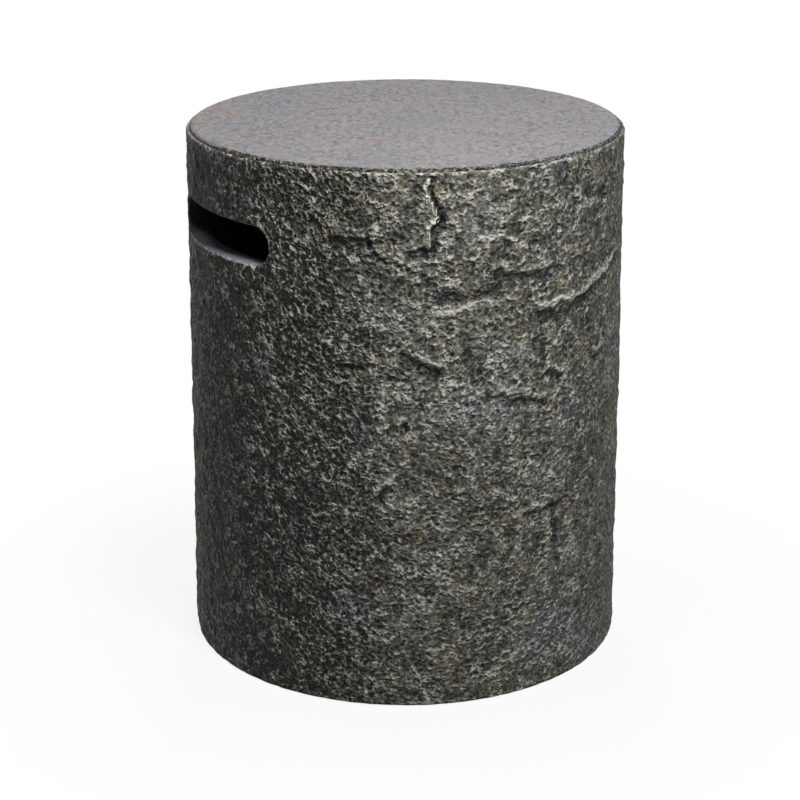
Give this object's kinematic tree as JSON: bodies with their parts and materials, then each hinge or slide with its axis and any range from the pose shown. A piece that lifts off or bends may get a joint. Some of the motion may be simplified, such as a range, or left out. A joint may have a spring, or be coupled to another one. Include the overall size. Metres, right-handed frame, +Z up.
{
  "type": "propane tank cover table",
  "caption": "Round hollow drum of faux split stone with a smooth top, hand-hold slots and a hose notch; it hides a gas cylinder and serves as a side table.",
  "frame": {"origin": "on the floor, at the axis of the drum, under the pads", "axes": "+Z up along the drum's axis; -Y is the front, the hand holds face -X and +X, the hose notch faces +Y"},
  "size_m": [0.4141, 0.4134, 0.5],
  "materials": {
    "split_stone": "matte",
    "smooth_stone": "matte",
    "mortar": "matte",
    "rubber": "matte",
    "nylon": "satin",
    "steel": "satin"
  },
  "bodies": {
    "root": {"drum_wall": "split_stone", "top_slab": "smooth_stone", "bond_bed": "mortar", "foot_pad_front_left": "rubber", "foot_pad_front_right": "rubber", "foot_pad_back_right": "rubber", "foot_pad_back_left": "rubber", "foot_screw_front_left": "steel", "foot_screw_front_right": "steel", "foot_screw_back_right": "steel", "foot_screw_back_left": "steel", "foot_plug_front_left": "nylon", "foot_plug_front_right": "nylon", "foot_plug_back_right": "nylon", "foot_plug_back_left": "nylon"}
  },
  "joints": []
}
